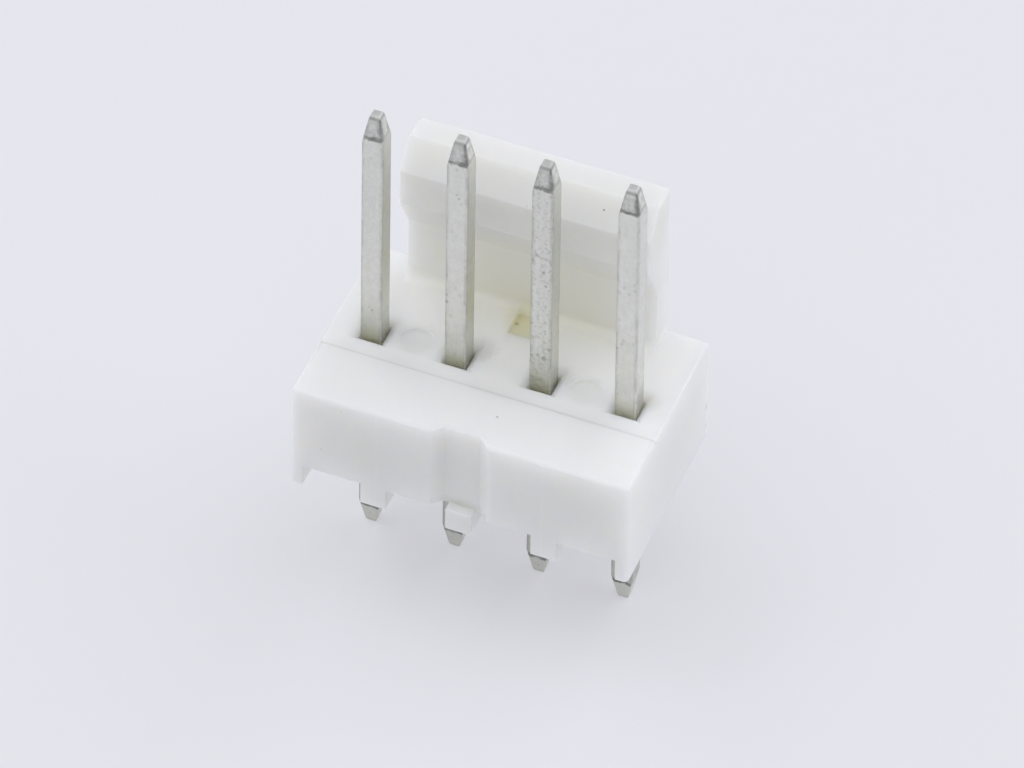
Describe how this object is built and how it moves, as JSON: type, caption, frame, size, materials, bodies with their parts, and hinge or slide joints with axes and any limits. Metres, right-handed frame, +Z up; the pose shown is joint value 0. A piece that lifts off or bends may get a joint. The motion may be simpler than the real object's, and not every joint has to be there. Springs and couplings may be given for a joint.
{
  "type": "pin header",
  "caption": "Upright friction-lock pin header: a white moulded base with standoff ribs and a front groove, one row of tapered square posts, and a hooked lock wall behind them.",
  "frame": {"origin": "middle of the post row on the plane of the standoffs' undersides, which is the circuit board's surface", "axes": "+Z up along the posts, +X along the row towards post_4, +Y towards the hooked lock wall"},
  "size_m": [0.01, 0.0062, 0.0143],
  "materials": {
    "white_nylon": "natural white moulded nylon, satin, a little translucent in thin places",
    "tinned_post": "satin tin plating over drawn brass wire, with fine pits and draw marks"
  },
  "bodies": {
    "root": {"housing": "white_nylon", "post_1": "tinned_post", "post_2": "tinned_post", "post_3": "tinned_post", "post_4": "tinned_post"}
  },
  "joints": []
}
